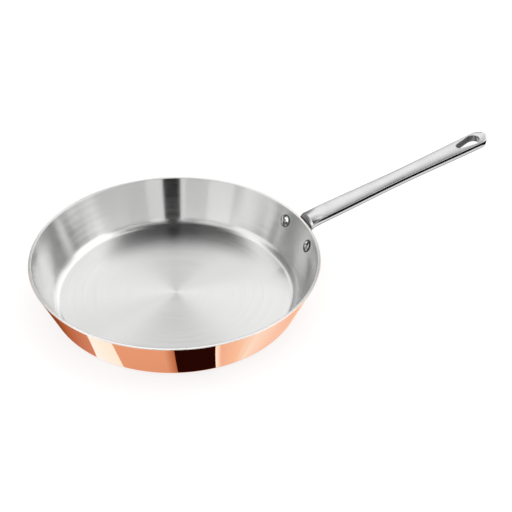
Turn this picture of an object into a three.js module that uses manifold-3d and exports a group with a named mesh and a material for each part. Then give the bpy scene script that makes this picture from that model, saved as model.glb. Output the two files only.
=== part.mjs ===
// Copper-clad frying pan: a bowl of three bonded plies and a cast steel handle held by two rivets.
// Millimetres, +Z up. The origin is the centre of the pan's underside, and the handle points along +X.
import * as THREE from "three";
import { mergeVertices } from "three/addons/utils/BufferGeometryUtils.js";
import Module from "manifold-3d";

const wasm = await Module();
wasm.setup();

// Bowl
const RIM_DIAMETER = 265; // across the outside of the rim
const PAN_HEIGHT = 44;
const WALL_FLARE = 23.9; // degrees that the wall leans out from upright
const INNER_CORNER_RADIUS = 5.4; // between the cooking floor and the wall
const COPPER_THICKNESS = 0.5;
const CORE_THICKNESS = 1.5;
const LINER_THICKNESS = 0.5;
const BOND_LINE = 0.05; // from each ply to the next

// Rivets
const RIVET_BELOW_RIM = 10.5; // from the rim down to where the axis meets the inner wall
const RIVET_SHANK_DIAMETER = 6;
const RIVET_HEAD_OVERHANG = 3.1; // of the head past the shank, all round
const RIVET_HEAD_HEIGHT = 1.7;
const RIVET_TAIL_OVERHANG = 2; // of the closed tail past the shank, all round
const RIVET_TAIL_HEIGHT = 2;
const RIVET_SEAT_GAP = 0.3; // under the head and under the tail
const RIVET_HOLE_GAP = 0.3; // round the shank

// Handle, from the flange on the wall to the hanging eye
const FLANGE_THICKNESS = 2.8;
const FLANGE_MARGIN = 2; // of the flange past a rivet's tail
const FLANGE_SEAT_GAP = 0.3; // from the copper to the flange
const NECK_WIDTH = 23.5; // where the handle leaves the flange
const NECK_FLARE_LENGTH = 15.5; // over which the neck narrows to the shoulder
const NECK_TO_TAIL = 6; // from the neck's side to a rivet's tail
const NECK_BELOW_RIM = 1; // from the rim down to the ledge where the neck leaves the wall
const NECK_ABOVE_FLANGE = 1.5; // from the flange's lower edge up to the neck's
const NOSE_CLEARANCE = 1.3; // from the rim to the nose of the neck
const NOSE_LENGTH = 9.2; // over which the top rolls down to the ledge
const THROAT_REACH = 4.5; // from the nose to where the underside starts its sweep down to the flange
const SHOULDER_WIDTH = 20;
const WAIST_WIDTH = 17;
const END_WIDTH = 20;
const HANDLE_REACH = 194.2; // from the rim to the tip, measured level
const HANDLE_TILT = 13.5; // degrees that the handle rises
const HANDLE_ABOVE_RIM = 3.3; // height of the handle's top, carried on to the rim
const HANDLE_THICKNESS = 7;
const TOP_EDGE_RADIUS = 1.2;
const BELLY_EDGE_RADIUS = 3;
const EYE_SIDE_WALL = 2.9; // beside the eye's wide end
const EYE_END_WALL = 8; // from the eye to the tip
const EYE_TAPER_LENGTH = 13.5; // from the centre of the eye's wide end to that of its narrow end
const EYE_NARROW_RADIUS = 4;

// Fineness of the faceted surfaces
const BOWL_SEGMENTS = 80;
const CORNER_STEPS = 4;
const RIVET_SEGMENTS = 24;
const DOME_STEPS = 4;
const EDGE_STEPS = 3;
const BEND_STEPS = 6;
const NECK_STEPS = 4;
const SHAFT_STEPS = 10;
const END_STEPS = 8;
const LEAST_STATION_STEP = 0.05; // between two cross-sections of the handle
const OUTLINE_SEGMENTS = 14; // in each arc of the flange's and the eye's outlines
const EDGE_SHARE = 0.9; // of half a cross-section's size that an edge radius may take
const CUT_MARGIN = 5; // that a cutting tool stands past what it cuts
const MERGE_DISTANCE = 1e-4; // under which two vertices are one

const { clamp, degToRad, lerp, smoothstep } = THREE.MathUtils;
const FLARE = degToRad(WALL_FLARE);
const TILT = degToRad(HANDLE_TILT);
const RIM_RADIUS = RIM_DIAMETER / 2;

// Depth of each ply's two faces under the pan's outer surface
const COPPER_FACES = [0, COPPER_THICKNESS];
const CORE_FACES = [COPPER_FACES[1] + BOND_LINE, COPPER_FACES[1] + BOND_LINE + CORE_THICKNESS];
const LINER_FACES = [CORE_FACES[1] + BOND_LINE, CORE_FACES[1] + BOND_LINE + LINER_THICKNESS];
const WALL_THICKNESS = LINER_FACES[1];
const OUTER_CORNER_RADIUS = INNER_CORNER_RADIUS + WALL_THICKNESS;

// Rivets and flange
const RIVET_SHANK_RADIUS = RIVET_SHANK_DIAMETER / 2;
const RIVET_HEAD_RADIUS = RIVET_SHANK_RADIUS + RIVET_HEAD_OVERHANG;
const RIVET_TAIL_RADIUS = RIVET_SHANK_RADIUS + RIVET_TAIL_OVERHANG;
const RIVET_SPACING = NECK_WIDTH + 2 * (NECK_TO_TAIL + RIVET_TAIL_RADIUS);
const RIVET_HEIGHT = PAN_HEIGHT - RIVET_BELOW_RIM;
const RIVET_GRIP = WALL_THICKNESS + FLANGE_SEAT_GAP + FLANGE_THICKNESS;
const FLANGE_HALF_HEIGHT = RIVET_TAIL_RADIUS + FLANGE_MARGIN;
const FLANGE_OFFSET = FLANGE_SEAT_GAP + FLANGE_THICKNESS;

// Stations along the handle, as distances from the pan's axis
const NOSE_X = RIM_RADIUS + NOSE_CLEARANCE;
const SHOULDER_X = NOSE_X + NOSE_LENGTH;
const THROAT_X = NOSE_X + THROAT_REACH;
const NECK_END_X = NOSE_X + NECK_FLARE_LENGTH;
const TIP_X = RIM_RADIUS + HANDLE_REACH;
const END_RADIUS = END_WIDTH / 2;
const END_X = TIP_X - END_RADIUS;
const WAIST_X = (NECK_END_X + END_X) / 2;
const ROOT_X = wallRadius(RIVET_HEIGHT - FLANGE_HALF_HEIGHT, WALL_THICKNESS);
const ROOT_TOP = PAN_HEIGHT - NECK_BELOW_RIM;
const ROOT_BOTTOM = RIVET_HEIGHT - FLANGE_HALF_HEIGHT + NECK_ABOVE_FLANGE;
const THROAT_LENGTH = THROAT_X - wallRadius(ROOT_BOTTOM, -FLANGE_OFFSET);

// A closed geometry as a manifold-3d solid, placed by a matrix.
function solidOf(geometry, matrix = new THREE.Matrix4()) {
  const bare = geometry.clone().applyMatrix4(matrix);
  bare.deleteAttribute("normal");
  bare.deleteAttribute("uv");
  const merged = mergeVertices(bare, MERGE_DISTANCE);
  return new wasm.Manifold(
    new wasm.Mesh({
      numProp: 3,
      vertProperties: merged.attributes.position.array,
      triVerts: new Uint32Array(merged.index.array),
    }),
  );
}

function geometryOf(solid) {
  const { vertProperties, triVerts } = solid.getMesh();
  const geometry = new THREE.BufferGeometry();
  geometry.setAttribute("position", new THREE.BufferAttribute(vertProperties, 3));
  geometry.setIndex(new THREE.BufferAttribute(triVerts, 1));
  geometry.computeVertexNormals();
  return geometry;
}

function meshOf(name, geometry, material) {
  const mesh = new THREE.Mesh(geometry, material);
  mesh.name = name;
  return mesh;
}

function metal(color, roughness) {
  return new THREE.MeshStandardMaterial({ color, roughness, metalness: 1 });
}

// A profile of [radius, height] pairs, turned about the Z axis.
function turned(profile, segments) {
  const points = profile.map(([radius, height]) => new THREE.Vector2(radius, height));
  return new THREE.LatheGeometry(points, segments).rotateX(Math.PI / 2);
}

// Points of an arc in a profile, from one angle to another.
function arc(centreX, centreY, radius, from, to, steps) {
  return Array.from({ length: steps + 1 }, (_, i) => {
    const angle = lerp(from, to, i / steps);
    return [centreX + radius * Math.cos(angle), centreY + radius * Math.sin(angle)];
  });
}

// Radius of the wall at a height, on the surface that lies a depth under the outer one.
function wallRadius(height, depth) {
  return RIM_RADIUS - (PAN_HEIGHT - height) * Math.tan(FLARE) - depth / Math.cos(FLARE);
}

// Half of the bowl's section on one such surface, from the axis out to the rim.
function bowlProfile(depth) {
  const cornerX = wallRadius(0, 0) - OUTER_CORNER_RADIUS * Math.tan((Math.PI / 2 - FLARE) / 2);
  const radius = OUTER_CORNER_RADIUS - depth;
  return [
    [0, depth],
    ...arc(cornerX, OUTER_CORNER_RADIUS, radius, -Math.PI / 2, -FLARE, CORNER_STEPS),
    [wallRadius(PAN_HEIGHT, depth), PAN_HEIGHT],
  ];
}

function plySolid([outerDepth, innerDepth]) {
  const profile = [...bowlProfile(outerDepth), ...bowlProfile(innerDepth).reverse()];
  return solidOf(turned(profile, BOWL_SEGMENTS));
}

// The cone that the wall lies on, filled, and grown outwards by an offset.
function conePlug(offset) {
  const foot = wallRadius(0, -offset);
  const brim = wallRadius(PAN_HEIGHT, -offset);
  return solidOf(turned([[0, 0], [foot, 0], [brim, PAN_HEIGHT], [0, PAN_HEIGHT]], BOWL_SEGMENTS));
}

// A rivet along +Z, with its zero at the inner wall: a domed head above, a closed tail below.
function rivetGeometry() {
  const headSeat = RIVET_SEAT_GAP;
  const tailSeat = -RIVET_GRIP - RIVET_SEAT_GAP;
  const dome = (radius, height, from, to) =>
    arc(0, 0, 1, from, to, DOME_STEPS).map(([x, y]) => [x * radius, y * height]);
  const head = dome(RIVET_HEAD_RADIUS, RIVET_HEAD_HEIGHT, 0, Math.PI / 2);
  const tail = dome(RIVET_TAIL_RADIUS, RIVET_TAIL_HEIGHT, -Math.PI / 2, 0);
  return turned(
    [
      ...tail.map(([radius, height]) => [radius, height + tailSeat]),
      [RIVET_SHANK_RADIUS, tailSeat],
      [RIVET_SHANK_RADIUS, headSeat],
      ...head.map(([radius, height]) => [radius, height + headSeat]),
    ],
    RIVET_SEGMENTS,
  );
}

// A rivet's hole along +Z, through the plies and the flange.
function rivetHoleGeometry() {
  const length = RIVET_GRIP + 2 * CUT_MARGIN;
  const radius = RIVET_SHANK_RADIUS + RIVET_HOLE_GAP;
  return new THREE.CylinderGeometry(radius, radius, length, RIVET_SEGMENTS)
    .rotateX(Math.PI / 2)
    .translate(0, 0, -RIVET_GRIP / 2);
}

// A rivet square to the wall, in a group that turns it round the bowl's axis.
function placedRivet(name, geometry, side, material) {
  const radius = wallRadius(RIVET_HEIGHT, WALL_THICKNESS);
  const rivet = meshOf(name, geometry, material);
  rivet.position.set(radius, 0, RIVET_HEIGHT);
  rivet.rotation.y = FLARE - Math.PI / 2;
  const seat = new THREE.Group();
  seat.rotation.z = side * Math.asin(RIVET_SPACING / 2 / radius);
  seat.add(rivet);
  seat.updateMatrixWorld(true);
  return { rivet, seat };
}

// The straight line of the handle's top, and of its underside.
const handleTop = (x) => PAN_HEIGHT + HANDLE_ABOVE_RIM + Math.tan(TILT) * (x - RIM_RADIUS);
const handleBelly = (x) => handleTop(x) - HANDLE_THICKNESS / Math.cos(TILT);

// A quarter round: 1 at and before its start, 0 at and past its end, upright at the start.
function quarterRound(x, end, length) {
  const inwards = clamp((end - x) / length, 0, 1);
  return 1 - Math.sqrt(1 - inwards * inwards);
}

// The bar's cross-section at a distance from the pan's axis. It rolls down to its root at the nose,
// sweeps down to it at the throat, flares at the neck, and ends in a half circle.
function handleStation(x) {
  const flare = clamp((NECK_END_X - x) / NECK_FLARE_LENGTH, 0, 1) ** 2;
  const neck = lerp(SHOULDER_WIDTH, NECK_WIDTH, flare);
  const waist = lerp(neck, WAIST_WIDTH, smoothstep(x, NECK_END_X, WAIST_X));
  const shaft = lerp(waist, END_WIDTH, smoothstep(x, WAIST_X, END_X));
  const past = clamp((x - END_X) / END_RADIUS, 0, 1);
  return {
    x,
    top: lerp(handleTop(x), ROOT_TOP, quarterRound(x, SHOULDER_X, NOSE_LENGTH)),
    bottom: lerp(handleBelly(x), ROOT_BOTTOM, quarterRound(x, THROAT_X, THROAT_LENGTH)),
    halfWidth: Math.max((shaft / 2) * Math.sqrt(1 - past * past), TOP_EDGE_RADIUS),
  };
}

// Cross-sections from the root inside the flange to the tip, closest where the bar bends.
function handleStations() {
  const bend = (end, length, steps) =>
    arc(end, 0, length, Math.PI, Math.PI / 2, steps).map(([x]) => x);
  const spread = (from, to, steps) =>
    Array.from({ length: steps + 1 }, (_, i) => lerp(from, to, i / steps));
  const places = [
    ROOT_X,
    ...bend(SHOULDER_X, NOSE_LENGTH, BEND_STEPS),
    ...bend(THROAT_X, THROAT_LENGTH, BEND_STEPS),
    ...spread(NOSE_X, NECK_END_X, NECK_STEPS),
    ...spread(NECK_END_X, END_X, SHAFT_STEPS),
    ...bend(END_X, -END_RADIUS, END_STEPS),
  ].sort((a, b) => a - b);
  const apart = places.filter((x, i) => i === 0 || x - places[i - 1] > LEAST_STATION_STEP);
  return apart.map(handleStation);
}

// One cross-section, as points [y, z] round a flat top and a rounded belly.
function handleSection({ top, bottom, halfWidth }) {
  const room = EDGE_SHARE * Math.min(halfWidth, (top - bottom) / 2);
  const edge = Math.min(TOP_EDGE_RADIUS, room);
  const belly = Math.min(BELLY_EDGE_RADIUS, room);
  const right = [
    ...arc(halfWidth - edge, top - edge, edge, Math.PI / 2, 0, EDGE_STEPS),
    ...arc(halfWidth - belly, bottom + belly, belly, 0, -Math.PI / 2, EDGE_STEPS),
  ];
  const left = right.map(([y, z]) => [-y, z]).reverse();
  return [...right, ...left];
}

// A closed skin over cross-sections that stand across X.
function lofted(stations) {
  const rings = stations.map((station) => handleSection(station));
  const count = rings[0].length;
  const positions = rings.flatMap((ring, i) => ring.flatMap(([y, z]) => [stations[i].x, y, z]));
  const faces = [];
  for (let i = 0; i + 1 < rings.length; i++) {
    for (let j = 0; j < count; j++) {
      const a = i * count + j;
      const b = i * count + ((j + 1) % count);
      faces.push(a, a + count, b, b, a + count, b + count);
    }
  }
  const last = (rings.length - 1) * count;
  for (let j = 1; j + 1 < count; j++) {
    faces.push(0, j, j + 1, last, last + j + 1, last + j);
  }
  const geometry = new THREE.BufferGeometry();
  geometry.setAttribute("position", new THREE.Float32BufferAttribute(positions, 3));
  geometry.setIndex(faces);
  return geometry;
}

// The flange: a round-ended plate, curved to the wall.
function flangeSolid() {
  const half = RIVET_SPACING / 2;
  const outline = new THREE.Shape()
    .absarc(half, RIVET_HEIGHT, FLANGE_HALF_HEIGHT, -Math.PI / 2, Math.PI / 2, false)
    .absarc(-half, RIVET_HEIGHT, FLANGE_HALF_HEIGHT, Math.PI / 2, (3 * Math.PI) / 2, false);
  const depth = RIM_RADIUS - ROOT_X + RIVET_SPACING;
  const plate = new THREE.ExtrudeGeometry(outline, {
    depth,
    bevelEnabled: false,
    curveSegments: OUTLINE_SEGMENTS,
  });
  const acrossX = new THREE.Matrix4()
    .makeBasis(new THREE.Vector3(0, 1, 0), new THREE.Vector3(0, 0, 1), new THREE.Vector3(1, 0, 0))
    .setPosition(ROOT_X - RIVET_SPACING / 2, 0, 0);
  return solidOf(plate, acrossX).intersect(conePlug(FLANGE_OFFSET));
}

// The hanging eye: a drop-shaped hole, square to the handle's top.
function eyeSolid() {
  const wide = END_RADIUS - EYE_SIDE_WALL;
  const tangent = Math.acos((EYE_NARROW_RADIUS - wide) / EYE_TAPER_LENGTH);
  const outline = new THREE.Shape()
    .absarc(0, 0, wide, -tangent, tangent, false)
    .absarc(-EYE_TAPER_LENGTH, 0, EYE_NARROW_RADIUS, tangent, 2 * Math.PI - tangent, false);
  const drop = new THREE.ExtrudeGeometry(outline, {
    depth: HANDLE_THICKNESS + 2 * CUT_MARGIN,
    bevelEnabled: false,
    curveSegments: OUTLINE_SEGMENTS,
  }).translate(0, 0, -HANDLE_THICKNESS - CUT_MARGIN);
  const x = TIP_X - EYE_END_WALL - wide;
  const square = new THREE.Matrix4().makeRotationY(-TILT).setPosition(x, 0, handleTop(x));
  return solidOf(drop, square);
}

function handleSolid(rivetHoles) {
  const blank = solidOf(lofted(handleStations())).add(flangeSolid());
  const cuts = [conePlug(FLANGE_SEAT_GAP), eyeSolid(), ...rivetHoles];
  return cuts.reduce((solid, cut) => solid.subtract(cut), blank);
}

// Assembly
const polishedCopper = metal(0xd98a62, 0.12);
const aluminium = metal(0xb9bbbe, 0.4);
const brushedSteel = metal(0xc9c9c8, 0.35);
const polishedSteel = metal(0xd4d4d4, 0.15);

const pan = new THREE.Group();

const rivetShape = rivetGeometry();
const rivets = [
  placedRivet("rivet_left", rivetShape, 1, polishedSteel),
  placedRivet("rivet_right", rivetShape, -1, polishedSteel),
];
const holeShape = rivetHoleGeometry();
const rivetHoles = rivets.map(({ rivet }) => solidOf(holeShape, rivet.matrixWorld));

const plies = [
  ["copper_shell", COPPER_FACES, polishedCopper],
  ["aluminium_core", CORE_FACES, aluminium],
  ["steel_liner", LINER_FACES, brushedSteel],
];
for (const [name, faces, material] of plies) {
  const drilled = rivetHoles.reduce((solid, hole) => solid.subtract(hole), plySolid(faces));
  pan.add(meshOf(name, geometryOf(drilled), material));
}
pan.add(meshOf("handle", geometryOf(handleSolid(rivetHoles)), polishedSteel));
for (const { seat } of rivets) pan.add(seat);

export default pan;
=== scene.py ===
"""A copper-clad frying pan: its finished surfaces and its studio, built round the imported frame.

Lengths are metres in the part's own frame: the origin is the centre of the pan's underside, +Z is up and
the handle points along +X.
"""

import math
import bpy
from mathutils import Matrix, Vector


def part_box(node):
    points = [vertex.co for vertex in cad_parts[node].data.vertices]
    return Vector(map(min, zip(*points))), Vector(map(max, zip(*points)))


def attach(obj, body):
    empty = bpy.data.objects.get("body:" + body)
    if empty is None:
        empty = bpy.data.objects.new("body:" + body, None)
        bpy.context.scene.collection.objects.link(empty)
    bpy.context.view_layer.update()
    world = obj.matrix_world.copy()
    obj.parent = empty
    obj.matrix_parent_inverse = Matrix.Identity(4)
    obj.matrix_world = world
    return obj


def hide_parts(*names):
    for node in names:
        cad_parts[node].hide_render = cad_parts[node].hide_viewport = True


bl_info = {
    "name": "Frying Pan",
    "version": (1, 0, 0),
    "blender": (4, 5, 0),
    "location": "3D View > Sidebar > Frying Pan",
    "description": "Makes the finished surfaces of a copper-clad frying pan and the studio it stands in",
    "category": "Object",
}

import bmesh
import bpy
from bpy.props import FloatProperty, FloatVectorProperty, IntProperty, PointerProperty
from mathutils import Matrix, Vector

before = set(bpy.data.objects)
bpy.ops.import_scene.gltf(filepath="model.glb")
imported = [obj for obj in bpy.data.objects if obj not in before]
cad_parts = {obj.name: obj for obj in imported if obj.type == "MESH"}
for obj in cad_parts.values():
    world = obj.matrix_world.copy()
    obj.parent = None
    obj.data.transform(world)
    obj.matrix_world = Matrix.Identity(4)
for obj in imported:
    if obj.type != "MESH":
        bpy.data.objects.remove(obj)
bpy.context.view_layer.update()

RIM_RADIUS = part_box("copper_shell")[1].x
PAN_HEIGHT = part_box("copper_shell")[1].z
HANDLE_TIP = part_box("handle")[1].x
MM = 0.001
MERGE_DISTANCE = 1e-6
SHARP_ANGLE = math.radians(35.0)


# Properties

def length(name, description, millimetres):
    return FloatProperty(name=name, description=description, default=millimetres * MM, min=0.0,
                         precision=5, unit="LENGTH")


def angle(name, description, degrees):
    return FloatProperty(name=name, description=description, default=math.radians(degrees),
                         subtype="ANGLE")


def amount(name, description, default, highest=1.0):
    return FloatProperty(name=name, description=description, default=default, min=0.0, max=highest,
                         subtype="FACTOR")


def colour(name, description, default):
    return FloatVectorProperty(name=name, description=description, default=default, size=3,
                               min=0.0, max=1.0, subtype="COLOR")


class PanBowlSizes(bpy.types.PropertyGroup):
    """Sizes of the bowl and of its three plies"""

    rim_radius: length("Rim radius", "From the axis to the outside of the rim", RIM_RADIUS / MM)
    height: length("Height", "From the underside to the rim", PAN_HEIGHT / MM)
    flare: angle("Flare", "How far the wall leans out from upright", 23.9)
    inner_corner: length("Inner corner", "Radius between the cooking floor and the wall", 9.0)
    outer_corner: length("Outer corner", "Radius between the underside and the wall", 8.0)
    copper: length("Copper", "Thickness of the outer ply", 0.5)
    core: length("Core", "Thickness of the middle ply", 1.5)
    liner: length("Liner", "Thickness of the inner ply", 0.5)
    bond: length("Bond line", "From each ply to the next", 0.05)
    rim_edge: length("Rim edge", "Radius of the rim's two edges", 0.3)
    segments: IntProperty(name="Segments", description="Steps round the bowl", default=320, min=24)


class PanRivetSizes(bpy.types.PropertyGroup):
    """Sizes of the rivets and where they stand"""

    below_rim: length("Below rim", "From the rim down to the rivets' axes", 10.5)
    spacing: length("Spacing", "Across from one rivet to the other", 45.5)
    shank_radius: length("Shank radius", "Radius inside the holes", 3.0)
    head_radius: length("Head radius", "Radius of the head inside the pan", 6.1)
    head_height: length("Head height", "Rise of the head's dome", 1.7)
    tail_radius: length("Tail radius", "Radius of the closed tail on the flange", 5.0)
    tail_height: length("Tail height", "Rise of the tail's dome", 2.0)
    seat_gap: length("Seat gap", "Under the head and under the tail", 0.3)


class PanHandleSizes(bpy.types.PropertyGroup):
    """Sizes of the cast handle, from its flange to its hanging eye"""

    tip: length("Tip", "From the pan's axis to the end of the handle", HANDLE_TIP / MM)
    tilt: angle("Tilt", "How steeply the handle rises", 13.2)
    above_rim: length("Above rim", "Height of the handle's top, carried on to the rim", 4.1)
    thickness: length("Thickness", "From the handle's top to its underside", 7.8)
    top_edge: length("Top edge", "Radius of the two top edges", 0.5)
    belly_height: length("Belly height", "Height of the two lower edges' rounding", 5.7)
    belly_inset: length("Belly inset", "Width of the two lower edges' rounding", 1.6)
    crown: length("Crown", "Rise of the top's middle over its edges", 0.55)
    neck_crown: length("Neck crown", "Rise of the neck's middle over its edges", 1.9)
    shoulder_width: length("Shoulder width", "Width where the neck ends", 18.9)
    waist_width: length("Waist width", "Width halfway along", 15.8)
    end_width: length("End width", "Width beside the hanging eye", 18.9)
    neck_width: length("Neck width", "Width where the handle leaves the flange", 22.6)
    neck_flare: length("Neck flare", "Length over which the neck narrows", 16.2)
    neck_below_rim: length("Neck below rim", "From the rim to the ledge by the wall", 0.1)
    neck_above_flange: length("Neck above flange", "From the flange's lower edge to the neck's", 1.5)
    nose_clearance: length("Nose clearance", "From the rim to the nose of the neck", 0.35)
    nose_length: length("Nose length", "Over which the top rolls down", 3.2)
    throat_reach: length("Throat reach", "From the nose to where the underside sweeps down", 5.2)
    flange_thickness: length("Flange thickness", "Of the plate on the wall", 2.8)
    flange_margin: length("Flange margin", "Of the flange past a rivet's tail", 2.0)
    flange_gap: length("Flange gap", "From the copper to the flange", 0.3)
    flange_edge: length("Flange edge", "Radius of the flange's outer edge", 0.9)
    root_fillet: length("Root fillet", "Radius between the neck and the flange", 2.2)
    eye_side_wall: length("Eye side wall", "Beside the eye's wide end", 2.35)
    eye_end_wall: length("Eye end wall", "From the eye to the tip", 8.0)
    eye_taper: length("Eye taper", "From the wide end's centre to the narrow end's", 13.5)
    eye_narrow_radius: length("Eye narrow radius", "Radius of the eye's narrow end", 4.0)
    eye_edge: length("Eye edge", "Radius of the eye's two edges", 0.6)


class PanFinish(bpy.types.PropertyGroup):
    """Colours and finishes of the metals"""

    copper: colour("Copper", "Polished copper", (0.81, 0.322, 0.163))
    copper_edge: colour("Copper edge", "Tint of the copper seen at a glancing angle", (1.0, 0.8, 0.7))
    # Painted highlight: the copper's cut edge at the rim is given this pale colour, so the rim shows a white
    # line
    copper_rim: colour("Copper rim", "The copper's bright-cut edge at the rim", (0.84, 0.78, 0.74))
    copper_roughness: amount("Copper roughness", "Blur of its reflections", 0.06)
    core: colour("Core", "Bare aluminium at the rim", (0.93, 0.92, 0.905))
    liner: colour("Liner", "Brushed steel inside the pan", (0.72, 0.72, 0.715))
    liner_roughness: amount("Liner roughness", "Blur of its reflections", 0.17)
    corner_roughness: amount("Corner roughness", "Blur added at the foot of the liner's wall", 0.1)
    handle: colour("Handle", "Satin-polished steel", (0.77, 0.77, 0.77))
    handle_roughness: amount("Handle roughness", "Blur of its reflections", 0.22)
    # Painted shade: the eye's wall takes this dark colour as the shade inside the hole; only its added
    # roughness is the as-cast steel
    eye: colour("Eye", "Steel left as cast inside the hanging eye", (0.33, 0.33, 0.335))
    # Painted shade: this dark colour stands for the shade in the crevice between the neck and the rim
    root: colour("Root", "Steel left dull in the crevice by the rim", (0.22, 0.22, 0.223))
    rivet: colour("Rivet", "Polished steel", (0.78, 0.78, 0.78))
    rivet_roughness: amount("Rivet roughness", "Blur of its reflections", 0.04)
    # Painted shade and reflections: the dark ring round each head stands for the shade under its edge, and
    # the dark blotches for dark reflections
    rivet_grime: colour("Rivet grime", "Dark edge and setting marks of the rivets", (0.05, 0.05, 0.05))


class PanStageLook(bpy.types.PropertyGroup):
    """The floor and the light of the studio"""

    floor: colour("Floor", "Plain pale floor", (0.92, 0.92, 0.92))
    floor_glow: amount("Floor glow", "Share of the floor's look that needs no lamp", 0.8)
    sun: FloatProperty(name="Sun", description="Strength of the broad light overhead", default=2.2, min=0.0)
    ceiling: amount("Ceiling", "Brightness overhead", 0.05, 4.0)


# Geometry helpers

def unit(t):
    """A value held between 0 and 1."""
    return min(max(t, 0.0), 1.0)


def smoothstep(x, low, high):
    t = unit((x - low) / (high - low))
    return t * t * (3.0 - 2.0 * t)


def quarter_rise(t):
    """Rise of a quarter circle, which starts level at 0 and ends upright at 1."""
    t = unit(t)
    return 1.0 - math.sqrt(1.0 - t * t)


def blend(a, b, t):
    return a + (b - a) * t


def spread(low, high, steps):
    """Evenly spaced values from one to another, both included."""
    return [blend(low, high, i / steps) for i in range(steps + 1)]


def quarter(steps):
    """Evenly spaced angles over a quarter turn."""
    return spread(0.0, math.pi / 2.0, steps)


def between(start, end, steps):
    """Evenly spaced points between two others, without those two."""
    return [[blend(a, b, t) for a, b in zip(start, end)] for t in spread(0.0, 1.0, steps)[1:-1]]


def rounded(corners, step=math.radians(6.0), fewest=3):
    """A profile with its corners rounded. Each corner is (radius, height, fillet)."""
    points = []
    for i, (x, z, fillet) in enumerate(corners):
        here = Vector((x, z))
        if fillet == 0.0:
            points.append(here)
            continue
        before = (Vector(corners[i - 1][:2]) - here).normalized()
        after = (Vector(corners[i + 1][:2]) - here).normalized()
        half = before.angle(after) / 2.0
        centre = here + (before + after).normalized() * fillet / math.sin(half)
        arm = here + before * fillet / math.tan(half) - centre
        turn = math.copysign(math.pi - 2.0 * half, before.x * after.y - before.y * after.x)
        steps = max(fewest, math.ceil(abs(turn) / step))
        points += [centre + Matrix.Rotation(-turn * k / steps, 2) @ arm for k in range(steps + 1)]
    return points


def supported(profile, margin=0.25 * MM, span=6.0 * MM, shortest=2.0 * MM):
    """The profile with points beside the ends of its straight runs, which keeps them flat when shaded."""
    points = [profile[0]]
    for start, end in zip(profile, profile[1:]):
        run = (end - start).length
        if run > shortest:
            steps = max(1, round(run / span))
            places = [margin / run, *spread(0.0, 1.0, steps)[1:-1], 1.0 - margin / run]
            points += [start.lerp(end, t) for t in places]
        points.append(end)
    return points


def turned_mesh(name, profile, segments):
    """A closed mesh: a profile that starts and ends on the Z axis, turned round it."""
    made = bmesh.new()
    rings = []
    for radius, height in profile:
        turns = 1 if radius < MERGE_DISTANCE else segments
        steps = [2.0 * math.pi * i / turns for i in range(turns)]
        rings.append([made.verts.new((radius * math.cos(a), radius * math.sin(a), height)) for a in steps])
    for inner, outer in zip(rings, rings[1:]):
        for i in range(segments):
            corners = [inner[i % len(inner)], inner[(i + 1) % len(inner)],
                       outer[(i + 1) % len(outer)], outer[i % len(outer)]]
            made.faces.new(dict.fromkeys(corners))
    return finished_mesh(name, made)


def finished_mesh(name, made):
    """Turn a bmesh into a smooth-shaded mesh."""
    for face in made.faces:
        face.smooth = True
    mesh = bpy.data.meshes.new(name)
    made.to_mesh(mesh)
    made.free()
    mesh.set_sharp_from_angle(angle=SHARP_ANGLE)
    return mesh


def add_object(name, data):
    """A new object in the scene."""
    made = bpy.data.objects.new(name, data)
    bpy.context.scene.collection.objects.link(made)
    return made


def add_piece(name, mesh, material, slot, *nodes):
    """Put a finished mesh in the scene, in place of its CAD nodes."""
    mesh.materials.clear()
    mesh.materials.append(material)
    piece = add_object(name, mesh)
    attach(piece, "root")
    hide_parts(*nodes)


# The bowl

def wall_radius(bowl, height, depth):
    """Radius of the wall at a height, on the surface that lies a depth under the outer one."""
    return bowl.rim_radius - (bowl.height - height) * math.tan(bowl.flare) - depth / math.cos(bowl.flare)


def wall_thickness(bowl):
    return bowl.copper + bowl.core + bowl.liner + 2.0 * bowl.bond


def ply_mesh(name, bowl, outer, inner, inner_corner, outer_edge=0.0, inner_edge=0.0):
    """One ply of the bowl, between two depths under its outer surface."""
    profile = [
        (0.0, outer, 0.0),
        (wall_radius(bowl, outer, outer), outer, bowl.outer_corner - outer),
        (wall_radius(bowl, bowl.height, outer), bowl.height, outer_edge),
        (wall_radius(bowl, bowl.height, inner), bowl.height, inner_edge),
        (wall_radius(bowl, inner, inner), inner, inner_corner),
        (0.0, inner, 0.0),
    ]
    return turned_mesh(name, supported(rounded(profile)), bowl.segments)


# The handle

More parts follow.
